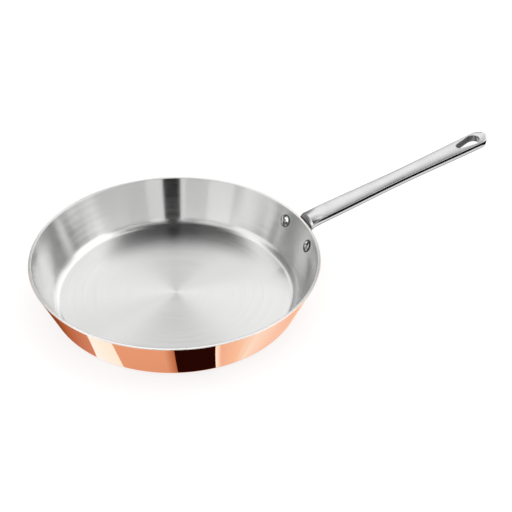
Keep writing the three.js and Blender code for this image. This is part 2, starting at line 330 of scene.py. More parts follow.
class HandleForm:
    """The lines of the handle along X, worked out from its sizes."""

    # How far inside the wall the bar starts, the least height of its sides and the least gap of its sections
    ROOT_DEPTH = 6.0 * MM
    SIDE_LEAST = 0.4 * MM
    STATION_GAP = 0.02 * MM
    # The painted shade in the crevice by the rim fades out between these lengths past the nose, and these
    # depths under its top
    CREVICE_ALONG = (0.1 * MM, 1.9 * MM)
    CREVICE_BELOW = (3.0 * MM, 0.5 * MM)
    # Steps of the mesh
    EDGE_STEPS = 10
    FLAT_STEPS = 6
    SIDE_STEPS = 8
    BEND_STEPS = 20
    THROAT_STEPS = 36
    NECK_STEPS = 6
    BAR_STEPS = 40
    TIP_STEPS = 24
    EYE_WIDE_STEPS = 18
    EYE_NARROW_STEPS = 14
    EYE_SIDE_STEPS = 8
    FLANGE_FACE_STEPS = 8
    FLANGE_END_STEPS = 24
    FLANGE_RUN_STEPS = 24

    def __init__(self, scene):
        sizes, bowl, rivet = scene.pan_handle, scene.pan_bowl, scene.pan_rivet
        self.sizes, self.bowl = sizes, bowl
        self.rivet_height = bowl.height - rivet.below_rim
        self.flange_half_height = rivet.tail_radius + sizes.flange_margin
        self.flange_half_span = rivet.spacing / 2.0
        self.flange_offset = sizes.flange_gap + sizes.flange_thickness
        self.nose = bowl.rim_radius + sizes.nose_clearance
        self.shoulder = self.nose + sizes.nose_length
        self.throat = self.nose + sizes.throat_reach
        self.neck_end = self.nose + sizes.neck_flare
        self.end_radius = sizes.end_width / 2.0
        self.end = sizes.tip - self.end_radius
        self.waist = (self.neck_end + self.end) / 2.0
        self.root_top = bowl.height - sizes.neck_below_rim
        self.root_bottom = self.rivet_height - self.flange_half_height + sizes.neck_above_flange
        self.throat_end = wall_radius(bowl, self.root_bottom, -self.flange_offset)
        self.eye_wide_radius = self.end_radius - sizes.eye_side_wall
        self.eye = sizes.tip - sizes.eye_end_wall - self.eye_wide_radius

    def line(self, x):
        """Height of the handle's straight top."""
        rise = math.tan(self.sizes.tilt) * (x - self.bowl.rim_radius)
        return self.bowl.height + self.sizes.above_rim + rise

    def top(self, x):
        rolled = quarter_rise((self.shoulder - x) / (self.shoulder - self.nose))
        return blend(self.line(x), self.root_top, rolled)

    def bottom(self, x):
        belly = self.line(x) - self.sizes.thickness / math.cos(self.sizes.tilt)
        swept = quarter_rise((self.throat - x) / (self.throat - self.throat_end))
        return blend(belly, self.root_bottom, swept)

    def half_width(self, x, inset):
        """Half of the handle's width, on an outline that lies an inset inside the outer one."""
        if x > self.end:
            return math.sqrt(max((self.end_radius - inset) ** 2 - (x - self.end) ** 2, 0.0))
        sizes = self.sizes
        flare = unit((self.neck_end - x) / sizes.neck_flare) ** 2
        neck = blend(sizes.shoulder_width, sizes.neck_width, flare)
        waist = blend(neck, sizes.waist_width, smoothstep(x, self.neck_end, self.waist))
        return blend(waist, sizes.end_width, smoothstep(x, self.waist, self.end)) / 2.0 - inset

    def full_half(self, x):
        """Half of the handle's full width, which never quite goes to nothing."""
        return max(self.half_width(x, 0.0), MERGE_DISTANCE)

    def room(self, x):
        """The inset at which the outline has shrunk away from a place near the tip."""
        return self.end_radius - max(x - self.end, 0.0)

    def along_eye(self, x):
        return (x - self.eye) / math.cos(self.sizes.tilt)

    def eye_need(self, x):
        """How far the eye's outline would have to grow to reach a place along the handle."""
        s = self.along_eye(x)
        return max(s - self.eye_wide_radius, -self.sizes.eye_taper - self.sizes.eye_narrow_radius - s)

    def eye_half_width(self, x, growth):
        """Half of the eye's width, on an outline grown outwards."""
        s = self.along_eye(x)
        wide = self.eye_wide_radius + growth
        narrow = self.sizes.eye_narrow_radius + growth
        taper = self.sizes.eye_taper
        lean = (narrow - wide) / taper
        rise = math.sqrt(1.0 - lean * lean)
        if s > wide * lean:
            return math.sqrt(max(wide * wide - s * s, 0.0))
        if s < narrow * lean - taper:
            return math.sqrt(max(narrow * narrow - (s + taper) ** 2, 0.0))
        share = (s - narrow * lean + taper) / (wide * lean - narrow * lean + taper)
        return blend(narrow, wide, share) * rise

    def lean(self, x):
        """Lean of a cross-section from upright: square to the handle along its bar."""
        rising = smoothstep(x, self.neck_end, self.waist)
        falling = smoothstep(x, self.eye + self.eye_wide_radius, self.sizes.tip)
        return self.sizes.tilt * rising * (1.0 - falling)

    @staticmethod
    def edge_depth(radius, inset):
        """Depth of a rounded edge where its outline has moved in by an inset."""
        rest = radius - min(max(inset, 0.0), radius)
        return radius - math.sqrt(radius * radius - rest * rest)

    def insets(self, radius):
        """Insets of a rounded edge's steps, from its flat face to its side."""
        return [radius * (1.0 - math.sin(t)) for t in quarter(self.EDGE_STEPS)]

    def section(self, x):
        """Half of a cross-section, from the middle of the top round to it again, as points (x, y, z)."""
        sizes = self.sizes
        lean = self.lean(x)
        top = self.top(x)
        deep = (top - self.bottom(x)) * math.cos(sizes.tilt) / math.cos(sizes.tilt - lean)
        half, room, need = self.full_half(x), self.room(x), self.eye_need(x)
        crown = blend(sizes.neck_crown, sizes.crown, smoothstep(x, self.nose, self.neck_end))
        belly_room = deep - crown - sizes.top_edge - self.SIDE_LEAST
        swell = max(min(sizes.belly_height, belly_room), self.SIDE_LEAST) / sizes.belly_inset

        def outer(radius):
            held = [min(inset, room) for inset in self.insets(radius)]
            return [(self.half_width(x, i), self.edge_depth(radius, i)) for i in held]

        def inner(radius):
            kept = [min(max(growth, need), radius) for growth in self.insets(radius)]
            widths = [self.eye_half_width(x, g) if g > need else 0.0 for g in kept]
            return [(y, self.edge_depth(radius, g)) for y, g in zip(widths, kept)]

        def crowned(edge):
            return [(y, d + crown * (y / half) ** 2) for y, d in edge]

        def underneath(edge):
            return [(y, deep - d) for y, d in edge]

        top_edge = outer(sizes.top_edge)
        belly_edge = [(y, swell * d) for y, d in outer(sizes.belly_inset)]
        eye_edge = inner(sizes.eye_edge)
        top_flat = between(eye_edge[0], top_edge[0], self.FLAT_STEPS)
        belly_flat = between(belly_edge[0], eye_edge[0], self.FLAT_STEPS)
        upper = crowned([eye_edge[0], *top_flat, *top_edge])
        lower = underneath([*reversed(belly_edge), *belly_flat, *eye_edge])
        side = between(upper[-1], lower[0], self.SIDE_STEPS)
        points = [*upper, *side, *lower, *crowned(reversed(eye_edge[1:]))]
        return [(x + d * math.sin(lean), y, top - d * math.cos(lean)) for y, d in points]

    def eye_wall(self, x):
        """How far each of a cross-section's last points lies in the eye: 1 on its wall, 0 on the faces."""
        need = self.eye_need(x)
        edge = self.sizes.eye_edge
        shares = [1.0 - growth / edge if growth > need else 0.0 for growth in self.insets(edge)]
        return shares + shares[:0:-1]

    def root_shade(self, x, z):
        """How much painted shade a point takes in the crevice between the neck and the rim: 1 at the nose, 0
        past it.
        """
        start, end = (self.nose + reach for reach in self.CREVICE_ALONG)
        foot, head = (self.root_top - depth for depth in self.CREVICE_BELOW)
        return (1.0 - smoothstep(x, start, end)) * smoothstep(z, foot, head)

    def stations(self):
        """Places of the cross-sections, closest where the handle bends or ends."""
        sizes = self.sizes

        def bend(start, end, steps):
            return [end + (start - end) * math.cos(t) for t in quarter(steps)]

        wide, narrow, taper = self.eye_wide_radius, sizes.eye_narrow_radius, sizes.eye_taper
        grown = self.insets(sizes.eye_edge)
        eye_places = [
            *bend(wide, 0.0, self.EYE_WIDE_STEPS),
            *(s - taper for s in bend(-narrow, 0.0, self.EYE_NARROW_STEPS)),
            *(wide + g for g in grown),
            *(-taper - narrow - g for g in grown),
            *spread(-taper, 0.0, self.EYE_SIDE_STEPS),
        ]
        places = [
            self.throat_end - self.ROOT_DEPTH,
            *bend(self.throat_end, self.throat, self.BEND_STEPS),
            *spread(self.throat_end, self.throat, self.THROAT_STEPS),
            *bend(self.nose, self.shoulder, self.BEND_STEPS),
            *spread(self.shoulder, self.neck_end, self.NECK_STEPS),
            *spread(self.neck_end, self.end, self.BAR_STEPS),
            *bend(sizes.tip, self.end, self.TIP_STEPS),
            *(sizes.tip - inset for inset in self.insets(sizes.top_edge)),
            *(sizes.tip - inset for inset in self.insets(sizes.belly_inset)),
            *(self.eye + s * math.cos(sizes.tilt) for s in eye_places),
        ]
        kept = []
        for x in sorted(places):
            if not kept or x - kept[-1] > self.STATION_GAP:
                kept.append(x)
        return kept

    def filleted(self, point, half):
        """A point of the neck's side, moved outwards where the neck runs into the flange."""
        x, y, z = point
        fillet = self.sizes.root_fillet
        radius = wall_radius(self.bowl, z, -self.flange_offset)
        clear = x - math.sqrt(radius * radius - y * y)
        below = self.rivet_height + self.flange_half_height - z
        share = smoothstep(y, half / 2.0, half) * smoothstep(below, 0.0, 2.0 * fillet)
        return (x, y + share * fillet * quarter_rise(1.0 - clear / fillet), z)

    def bar(self, made):
        """Add the bar, from its root inside the wall to its tip."""
        rings, walls = [], []
        for x in self.stations():
            half = self.full_half(x)
            rings.append([self.filleted(point, half) for point in self.section(x)])
            walls.append(self.eye_wall(x))
        eye_wall = made.verts.layers.float.new("eye_wall")
        root_shade = made.verts.layers.float.new("root_shade")
        for side in (1.0, -1.0):
            grid = [[made.verts.new((x, side * y, z)) for x, y, z in ring] for ring in rings]
            for ring, shares in zip(grid, walls):
                for point, share in zip(ring[-len(shares):], shares):
                    point[eye_wall] = share
                for point in ring:
                    point[root_shade] = self.root_shade(point.co.x, point.co.z)
            for near, far in zip(grid, grid[1:]):
                for i in range(len(near)):
                    j = (i + 1) % len(near)
                    corners = (near[i], far[i], far[j], near[j])
                    made.faces.new(corners if side > 0.0 else reversed(corners))
        bmesh.ops.remove_doubles(made, verts=made.verts, dist=MERGE_DISTANCE)
        middle = [f for f in made.faces if all(abs(v.co.y) < MERGE_DISTANCE for v in f.verts)]
        bmesh.ops.delete(made, geom=middle, context="FACES")
        bmesh.ops.dissolve_degenerate(made, edges=made.edges, dist=MERGE_DISTANCE)
        bmesh.ops.holes_fill(made, edges=[e for e in made.edges if e.is_boundary], sides=0)

    def flange(self, made):
        """Add the flange: a round-ended plate from inside the wall, with a rounded outer edge."""
        sizes = self.sizes
        edge = sizes.flange_edge
        face = spread(edge, self.flange_half_height, self.FLANGE_FACE_STEPS)[1:]
        levels = [(self.flange_half_height, -sizes.flange_thickness), (0.0, -sizes.flange_thickness)]
        levels += [(edge * (1.0 - math.cos(t)), self.flange_offset - edge * (1.0 - math.sin(t)))
                   for t in quarter(self.EDGE_STEPS)]
        levels += [(inset, self.flange_offset) for inset in face]
        up = math.pi / 2.0
        span = self.flange_half_span
        turns = [math.pi * i / self.FLANGE_END_STEPS for i in range(self.FLANGE_END_STEPS + 1)]
        straight = spread(span, -span, self.FLANGE_RUN_STEPS)[1:-1]
        outline = [(span, up - t) for t in reversed(turns)]
        outline += [(y, up) for y in straight]
        outline += [(-span, up + t) for t in turns]
        outline += [(y, -up) for y in reversed(straight)]
        grid = []
        for inset, offset in levels:
            reach = self.flange_half_height - inset
            ring = []
            for y, turn in outline:
                across = y + reach * math.cos(turn)
                height = self.rivet_height + reach * math.sin(turn)
                radius = wall_radius(self.bowl, height, -offset)
                ring.append(made.verts.new((math.sqrt(radius ** 2 - across ** 2), across, height)))
            grid.append(ring)
        for lower, upper in zip(grid, grid[1:]):
            for i in range(len(outline)):
                j = (i + 1) % len(outline)
                made.faces.new((lower[i], lower[j], upper[j], upper[i]))
        bmesh.ops.remove_doubles(made, verts=made.verts, dist=MERGE_DISTANCE)
        bmesh.ops.dissolve_degenerate(made, edges=made.edges, dist=MERGE_DISTANCE)


def bowl_room(bowl, gap):
    """A plug that fills the bowl and a gap round its wall, and goes on upwards."""
    foot, head = -bowl.height, 3.0 * bowl.height
    mouth = wall_radius(bowl, bowl.height, -gap)
    profile = [(0.0, foot), (wall_radius(bowl, foot, -gap), foot), (mouth, bowl.height), (mouth, head),
               (0.0, head)]
    return turned_mesh("bowl_room", profile, bowl.segments)


def cut_or_joined(mesh, other, operation):
    """The Boolean of two meshes, both of which it uses up."""
    bodies = [add_object(shape.name, shape) for shape in (mesh, other)]
    modifier = bodies[0].modifiers.new("boolean", "BOOLEAN")
    modifier.operation = operation
    modifier.solver = "EXACT"
    modifier.object = bodies[1]
    evaluated = bodies[0].evaluated_get(bpy.context.evaluated_depsgraph_get())
    result = bpy.data.meshes.new_from_object(evaluated)
    for body, shape in zip(bodies, (mesh, other)):
        bpy.data.objects.remove(body)
        bpy.data.meshes.remove(shape)
    result.set_sharp_from_angle(angle=SHARP_ANGLE)
    return result


def handle_mesh(form):
    bar, flange = bmesh.new(), bmesh.new()
    form.bar(bar)
    form.flange(flange)
    joined = cut_or_joined(finished_mesh("bar", bar), finished_mesh("flange", flange), "UNION")
    room = bowl_room(form.bowl, form.sizes.flange_gap)
    return cut_or_joined(joined, room, "DIFFERENCE")


# The rivets

DOME_STEPS = 12
RIVET_SEGMENTS = 64
# Shares of a head's radius between which its edge darkens with painted shade
HEAD_EDGE = (0.82, 0.94)


def rivet_profile(rivet, grip):
    """A rivet along +Z with its zero at the inner wall: a domed head above, a closed tail below."""
    tail_seat = -grip - rivet.seat_gap
    turns = quarter(DOME_STEPS)
    tail = [Vector((rivet.tail_radius * math.sin(t), tail_seat - rivet.tail_height * math.cos(t)))
            for t in turns]
    head = [Vector((rivet.head_radius * math.cos(t), rivet.seat_gap + rivet.head_height * math.sin(t)))
            for t in turns]
    head[-1].x = 0.0
    shank = [Vector((rivet.shank_radius, height)) for height in (tail_seat, rivet.seat_gap)]
    return [*tail, *shank, *head]


def rivet_tree():
    """Geometry nodes that set a rivet square to the wall on each side of the handle."""
    tree = bpy.data.node_groups.new("rivet_pair", "GeometryNodeTree")
    sockets = [("Rivet", "NodeSocketObject"), ("Wall Radius", "NodeSocketFloat"),
               ("Height", "NodeSocketFloat"), ("Half Angle", "NodeSocketFloat"),
               ("Lean", "NodeSocketFloat"), ("Material", "NodeSocketMaterial")]
    for name, kind in sockets:
        tree.interface.new_socket(name, in_out="INPUT", socket_type=kind)
    tree.interface.new_socket("Geometry", in_out="OUTPUT", socket_type="NodeSocketGeometry")
    given = tree.nodes.new("NodeGroupInput").outputs
    pair = add_node(tree, "GeometryNodeMeshLine", {"Count": 2})
    index = add_node(tree, "GeometryNodeInputIndex").outputs["Index"]
    side = calc(tree, "MULTIPLY_ADD", index, 2.0, -1.0)
    turn = calc(tree, "MULTIPLY", side, given["Half Angle"])
    across = calc(tree, "MULTIPLY", given["Wall Radius"], calc(tree, "SINE", turn))
    along = calc(tree, "MULTIPLY", given["Wall Radius"], calc(tree, "COSINE", turn))
    place = add_node(tree, "ShaderNodeCombineXYZ", {"X": along, "Y": across, "Z": given["Height"]})
    points = add_node(tree, "GeometryNodeSetPosition",
                      {"Geometry": pair.outputs["Mesh"], "Position": place.outputs["Vector"]})
    stance = add_node(tree, "ShaderNodeCombineXYZ", {"Y": given["Lean"], "Z": turn})
    source = add_node(tree, "GeometryNodeObjectInfo", {"Object": given["Rivet"]})
    copies = add_node(tree, "GeometryNodeInstanceOnPoints",
                      {"Points": points.outputs["Geometry"], "Instance": source.outputs["Geometry"],
                       "Rotation": stance.outputs["Vector"]})
    real = add_node(tree, "GeometryNodeRealizeInstances", {"Geometry": copies.outputs["Instances"]})
    clad = add_node(tree, "GeometryNodeSetMaterial",
                    {"Geometry": real.outputs["Geometry"], "Material": given["Material"]})
    add_node(tree, "NodeGroupOutput", {"Geometry": clad.outputs["Geometry"]})
    return tree


def rivets_mesh(bowl, rivet, form, material):
    """Both rivets as one plain mesh."""
    grip = wall_thickness(bowl) + form.flange_offset
    radius = wall_radius(bowl, form.rivet_height, wall_thickness(bowl))
    shape = turned_mesh("rivet", rivet_profile(rivet, grip), RIVET_SEGMENTS)
    # The ring of painted shade round the head's edge
    edge = shape.attributes.new("head_edge", "FLOAT", "POINT")
    start, end = (share * rivet.head_radius for share in HEAD_EDGE)
    for vertex, place in zip(shape.vertices, edge.data):
        place.value = smoothstep(vertex.co.xy.length, start, end)
    source = add_object("rivet_source", shape)
    host = add_object("rivet_host", bpy.data.meshes.new("rivet_host"))
    tree = rivet_tree()
    modifier = host.modifiers.new("rivet_pair", "NODES")
    modifier.node_group = tree
    values = {"Rivet": source, "Wall Radius": radius, "Height": form.rivet_height,
              "Half Angle": math.asin(rivet.spacing / 2.0 / radius), "Lean": bowl.flare - math.pi / 2.0,
              "Material": material}
    for socket in tree.interface.items_tree:
        if socket.in_out == "INPUT":
            modifier[socket.identifier] = values[socket.name]
    evaluated = host.evaluated_get(bpy.context.evaluated_depsgraph_get())
    mesh = bpy.data.meshes.new_from_object(evaluated)
    mesh.name = "rivets"
    host.modifiers.remove(modifier)
    bpy.data.objects.remove(host)
    bpy.data.objects.remove(source)
    return mesh


# Shader helpers

def empty_tree(owner):
    """The node tree of a material or a world, with nothing in it."""
    owner.use_nodes = True
    owner.node_tree.nodes.clear()
    return owner.node_tree


def set_inputs(tree, node, inputs):
    """Link a node's inputs to sockets, or set them to values."""
    for name, value in inputs.items():
        if isinstance(value, bpy.types.NodeSocket):
            tree.links.new(value, node.inputs[name])
        else:
            node.inputs[name].default_value = value


def add_node(tree, kind, inputs=None, **settings):
    """A node with its settings and its inputs."""
    node = tree.nodes.new(kind)
    for name, value in settings.items():
        setattr(node, name, value)
    set_inputs(tree, node, inputs or {})
    return node


def calc(tree, operation, *values):
    """The result of a Math node."""
    node = add_node(tree, "ShaderNodeMath", dict(enumerate(values)), operation=operation)
    return node.outputs[0]


def ramp(tree, value, low, high, to_low=0.0, to_high=1.0):
    """A value carried smoothly from one range to another."""
    node = add_node(tree, "ShaderNodeMapRange",
                    {"Value": value, "From Min": low, "From Max": high, "To Min": to_low, "To Max": to_high},
                    interpolation_type="SMOOTHSTEP")
    return node.outputs["Result"]


def opaque(colour):
    """A colour with its alpha, as a socket takes it."""
    return (*colour, 1.0)


def mix(tree, share, first, second, blend_type="MIX"):
    """A colour with a share of a second one over it."""
    # A Mix node has sockets for numbers and vectors too, so those of its colours go by their places
    node = add_node(tree, "ShaderNodeMix", {0: share, 6: first, 7: second},
                    data_type="RGBA", blend_type=blend_type)
    return node.outputs[2]


def split(tree, vector):
    """The X, Y and Z of a vector."""
    return add_node(tree, "ShaderNodeSeparateXYZ", {"Vector": vector}).outputs


def place_on_part(tree):
    return add_node(tree, "ShaderNodeTexCoord").outputs["Object"]


def height_above_base(tree):
    return split(tree, place_on_part(tree))["Z"]


def painted(tree, name):
    """A mask that a mesh holds as an attribute."""
    return add_node(tree, "ShaderNodeAttribute", attribute_name=name).outputs["Fac"]


def noise(tree, place, scale=1.0, detail=3.0, roughness=0.6, distortion=0.0):
    node = add_node(tree, "ShaderNodeTexNoise",
                    {"Vector": place, "Scale": scale, "Detail": detail, "Roughness": roughness,
                     "Distortion": distortion})
    return node.outputs["Fac"]


def relief(tree, height, strength, depth):
    """The normals of a surface that marks make uneven."""
    node = add_node(tree, "ShaderNodeBump", {"Strength": strength, "Distance": depth, "Height": height})
    return node.outputs["Normal"]


def round_axis(tree):
    """The direction round the pan's axis, from which a surface's brushing is turned."""
    return add_node(tree, "ShaderNodeTangent", direction_type="RADIAL", axis="Z").outputs["Tangent"]


def new_mark_group(name, inputs):
    """An empty shader node group with float inputs, and the sockets of its two ends."""
    tree = bpy.data.node_groups.new(name, "ShaderNodeTree")
    for socket, default in inputs.items():
        made = tree.interface.new_socket(socket, in_out="INPUT", socket_type="NodeSocketFloat")
        made.default_value = default
    tree.interface.new_socket("Marks", in_out="OUTPUT", socket_type="NodeSocketFloat")
    given, result = tree.nodes.new("NodeGroupInput"), tree.nodes.new("NodeGroupOutput")
    return tree, given.outputs, result.inputs["Marks"]


def turned_marks(name):
    """Fine lines round the Z axis, as a brush or a polishing wheel leaves on a turned surface."""
    tree, given, result = new_mark_group(name, {"Lines": 900.0, "Drift": 3.0})
    parts = split(tree, place_on_part(tree))
    squares = [calc(tree, "POWER", parts[axis], 2.0) for axis in "XY"]
    radius = calc(tree, "SQRT", calc(tree, "ADD", *squares))
    safe = calc(tree, "MAXIMUM", radius, MM)
    wound = {axis: calc(tree, "MULTIPLY", calc(tree, "DIVIDE", parts[axis], safe), given["Drift"])
             for axis in "XY"}
    wound["Z"] = calc(tree, "MULTIPLY", calc(tree, "ADD", radius, parts["Z"]), given["Lines"])
    place = add_node(tree, "ShaderNodeCombineXYZ", wound)
    tree.links.new(noise(tree, place.outputs["Vector"]), result)
    return tree


def handling_marks(name):
    """Broad, faint clouding that handling and wiping leave on bare metal."""
    tree, given, result = new_mark_group(name, {"Scale": 25.0})
    clouds = noise(tree, place_on_part(tree), given["Scale"], detail=4.0, roughness=0.55, distortion=0.4)
    tree.links.new(clouds, result)
    return tree


def marks(tree, build, **values):
    """The output of a group of marks, which is built when it is first asked for."""
    group = bpy.data.node_groups.get(build.__name__) or build(build.__name__)
    return add_node(tree, "ShaderNodeGroup", values, node_tree=group).outputs["Marks"]


# The finishes

# Values of the marks between which a finish goes from one look to another
TINT_RANGE = (0.25, 0.75)
BRUSH_RANGE = (0.3, 0.7)
CLOUD_RANGE = (0.35, 0.7)
DENT_RANGE = (0.4, 0.65)
BLOTCH_RANGE = (0.49, 0.55)
# Shares of the copper's roughness where it is clear and clouded
COPPER_CLOUDS = (0.8, 1.4)
# Depths under the rim between which the copper turns into its cut edge, painted pale as a highlight
RIM_HIGHLIGHT_DEPTHS = (0.6 * MM, 0.25 * MM)
# Heights between which the liner's dull corner begins, and between which it ends
CORNER_START = (2.7 * MM, 4.0 * MM)
CORNER_END = (5.5 * MM, 9.0 * MM)
# What brushing takes from the liner's roughness and adds to it, and the core's least and most roughness
LINER_SPREAD = 0.03
CORE_ROUGHNESS = (0.22, 0.3)
# The grain's scale along the handle and across it, and what clouds take from its roughness and grain adds
HANDLE_GRAIN = (12.0, 1400.0, 1400.0)
SATIN_SPREAD = 0.08
# How far up a face of the handle looks where the satin begins and where it is full, and the share of its
# roughness that the polished faces keep
SATIN_START = (0.3, 0.85)
SIDE_POLISH = 0.32
# Roughness that the eye's wall and a rivet's dents add, and how much of the rivet its painted dark
# reflections cover
CAST_ROUGHNESS = 0.2
DENT_ROUGHNESS = 0.12
BLOTCH_COVER = 0.95


def metal(name, base, roughness, anisotropic=0.0):
    """A material with a metallic shader, and its tree and shader."""
    material = bpy.data.materials.new(name)
    tree = empty_tree(material)
    shader = add_node(tree, "ShaderNodeBsdfPrincipled",
                      {"Base Color": opaque(base), "Metallic": 1.0, "Roughness": roughness,
                       "Anisotropic": anisotropic})
    add_node(tree, "ShaderNodeOutputMaterial", {"Surface": shader.outputs["BSDF"]})
    return material, tree, shader


def tint(tree, base, value, darkest):
    """A base colour that a mark makes darker."""
    return mix(tree, 1.0, opaque(base), ramp(tree, value, *TINT_RANGE, darkest, 1.0), "MULTIPLY")


def copper_finish(look):
    """Mirror-polished copper with faint wheel marks and clouding, and a pale painted highlight on its cut
    edge at the rim.
    """
    material, tree, shader = metal("polished_copper", look.copper, look.copper_roughness)
    lines = marks(tree, turned_marks, Lines=700.0, Drift=1.5)
    clouds = marks(tree, handling_marks, Scale=30.0)
    clear, clouded = (look.copper_roughness * share for share in COPPER_CLOUDS)
    start, end = (PAN_HEIGHT - depth for depth in RIM_HIGHLIGHT_DEPTHS)
    # Mask of the painted highlight on the copper's cut edge at the rim
    cut = ramp(tree, height_above_base(tree), start, end)
    skin = tint(tree, look.copper, clouds, darkest=0.97)
    set_inputs(tree, shader, {
        "Base Color": mix(tree, cut, skin, opaque(look.copper_rim)),
        "Specular Tint": opaque(look.copper_edge),
        "Roughness": ramp(tree, clouds, *CLOUD_RANGE, clear, clouded),
        "Normal": relief(tree, lines, strength=0.05, depth=0.02 * MM),
    })
    return material


def liner_finish(look):
    """Steel brushed in circles round the pan's axis, duller at the foot of the wall."""
    smooth = look.liner_roughness - LINER_SPREAD
    coarse = look.liner_roughness + LINER_SPREAD
    material, tree, shader = metal("brushed_liner", look.liner, look.liner_roughness, anisotropic=1.0)
    fine = marks(tree, turned_marks, Lines=2600.0, Drift=1.2)
    broad = marks(tree, turned_marks, Lines=420.0, Drift=0.7)
    both = calc(tree, "MULTIPLY_ADD", fine, 0.5, calc(tree, "MULTIPLY", broad, 0.5))
    brushed = ramp(tree, both, *BRUSH_RANGE, smooth, coarse)
    height = height_above_base(tree)
    corner = calc(tree, "MULTIPLY", ramp(tree, height, *CORNER_START),
                  ramp(tree, height, *CORNER_END, 1.0, 0.0))
    set_inputs(tree, shader, {
        "Base Color": tint(tree, look.liner, both, darkest=0.94),
        "Roughness": calc(tree, "MULTIPLY_ADD", corner, look.corner_roughness, brushed),
        "Normal": relief(tree, both, strength=0.06, depth=0.03 * MM),
        "Anisotropic Rotation": 0.25,
        "Tangent": round_axis(tree),
    })
    return material


def core_finish(look):
    """Bare aluminium, ground across at the rim."""
    material, tree, shader = metal("bare_aluminium", look.core, CORE_ROUGHNESS[1], anisotropic=1.0)
    lines = marks(tree, turned_marks, Lines=3500.0, Drift=4.0)
    set_inputs(tree, shader, {
        "Base Color": tint(tree, look.core, lines, darkest=0.94),
        "Roughness": ramp(tree, lines, *BRUSH_RANGE, *CORE_ROUGHNESS),
        "Tangent": round_axis(tree),
    })
    return material


def handle_finish(look):
    """Cast steel, satin on top and polished on its sides and underneath, with painted shade in its eye and
    in the crevice by the rim.
    """
    material, tree, shader = metal("satin_steel", look.handle, look.handle_roughness)
    given = add_node(tree, "ShaderNodeTexCoord").outputs
    drawn = add_node(tree, "ShaderNodeMapping", {"Vector": given["Object"], "Scale": HANDLE_GRAIN})
    grain = noise(tree, drawn.outputs["Vector"])
    clouds = marks(tree, handling_marks, Scale=45.0)
    clouded = ramp(tree, clouds, *BRUSH_RANGE, look.handle_roughness - SATIN_SPREAD, look.handle_roughness)
    satin = calc(tree, "MULTIPLY_ADD", grain, SATIN_SPREAD, clouded)
    upward = ramp(tree, split(tree, given["Normal"])["Z"], *SATIN_START, SIDE_POLISH, 1.0)
    cast = painted(tree, "eye_wall")
    # The eye's wall takes the eye colour: painted shade inside the hole
    skin = mix(tree, cast, tint(tree, look.handle, grain, darkest=0.95), opaque(look.eye))
    set_inputs(tree, shader, {
        # Painted shade in the crevice between the neck and the rim
        "Base Color": mix(tree, painted(tree, "root_shade"), skin, opaque(look.root)),
        "Roughness": calc(tree, "MULTIPLY_ADD", cast, CAST_ROUGHNESS, calc(tree, "MULTIPLY", satin, upward)),
        "Normal": relief(tree, grain, strength=0.08, depth=0.03 * MM),
    })
    return material


def rivet_finish(look):
    """Polished steel with the small dents of setting, painted shade round the head's edge and dark blotches
    painted as reflections.
    """
    rough = look.rivet_roughness
    material, tree, shader = metal("polished_rivet", look.rivet, rough)
    dents = marks(tree, handling_marks, Scale=330.0)
    # Dark blotches from the dents' noise, painted as dark reflections
    painted_blotches = ramp(tree, dents, *BLOTCH_RANGE, 0.0, BLOTCH_COVER)
    dark = calc(tree, "MAXIMUM", painted(tree, "head_edge"), painted_blotches)
    set_inputs(tree, shader, {
        "Base Color": mix(tree, dark, opaque(look.rivet), opaque(look.rivet_grime)),
        "Roughness": ramp(tree, dents, *DENT_RANGE, rough, rough + DENT_ROUGHNESS),
        "Normal": relief(tree, dents, strength=0.35, depth=0.25 * MM),
    })
    return material


# The stage

IMAGE_SIZE = 512.0
SENSOR = 36.0
FOCAL_PIXELS = 1300.0
CAMERA_TURN = math.radians(25.5)
CAMERA_DROP = math.radians(36.13)
CAMERA_ROLL = math.radians(0.77)
# Where the pan's origin lies from the camera, measured to its right, upwards and backwards
PAN_IN_VIEW = Vector((-0.07392, -0.03524, -1.2062))
FLOOR_SIZE = 8.0
STAGE_TURN = Matrix.Rotation(-CAMERA_TURN, 4, "Z")
SUN_SPREAD = math.radians(80.0)


def add_camera(scene):
    """The photograph's camera: it looks down at the pan from the handle's right."""
    stance = STAGE_TURN @ Matrix.Rotation(math.pi / 2.0 - CAMERA_DROP, 4, "X")
    stance = stance @ Matrix.Rotation(CAMERA_ROLL, 4, "Z")
    data = bpy.data.cameras.new("camera")
    data.sensor_width = SENSOR
    data.lens = SENSOR * FOCAL_PIXELS / IMAGE_SIZE
    scene.camera = add_object("camera", data)
    scene.camera.matrix_world = stance @ Matrix.Translation(-PAN_IN_VIEW)


def background_rays(tree):
    """1 for rays from the camera and from shiny or clear surfaces."""
    path = add_node(tree, "ShaderNodeLightPath").outputs
    seen = calc(tree, "MAXIMUM", path["Is Camera Ray"], path["Is Glossy Ray"])
    return calc(tree, "MAXIMUM", seen, path["Is Transmission Ray"])


def add_floor(look):
    """A plain pale floor that keeps the pan's shadow."""
    made = bmesh.new()
    bmesh.ops.create_grid(made, x_segments=1, y_segments=1, size=FLOOR_SIZE / 2.0)
    floor = add_object("floor", finished_mesh("floor", made))
    material = bpy.data.materials.new("pale_floor")
    tree = empty_tree(material)
    paper = add_node(tree, "ShaderNodeBsdfDiffuse", {"Color": opaque(look.floor)})
    glow = add_node(tree, "ShaderNodeEmission", {"Color": (1.0, 1.0, 1.0, 1.0), "Strength": 1.0})
    share = calc(tree, "MULTIPLY", background_rays(tree), look.floor_glow)
    mixed = add_node(tree, "ShaderNodeMixShader", {0: share, 1: paper.outputs[0], 2: glow.outputs[0]})
    add_node(tree, "ShaderNodeOutputMaterial", {"Surface": mixed.outputs[0]})
    floor.data.materials.append(material)


def window(tree, value, low, high, edge):
    """1 between two values, with soft edges."""
    rising = ramp(tree, value, low - edge, low + edge)
    falling = ramp(tree, value, high - edge, high + edge, 1.0, 0.0)
    return calc(tree, "MULTIPLY", rising, falling)


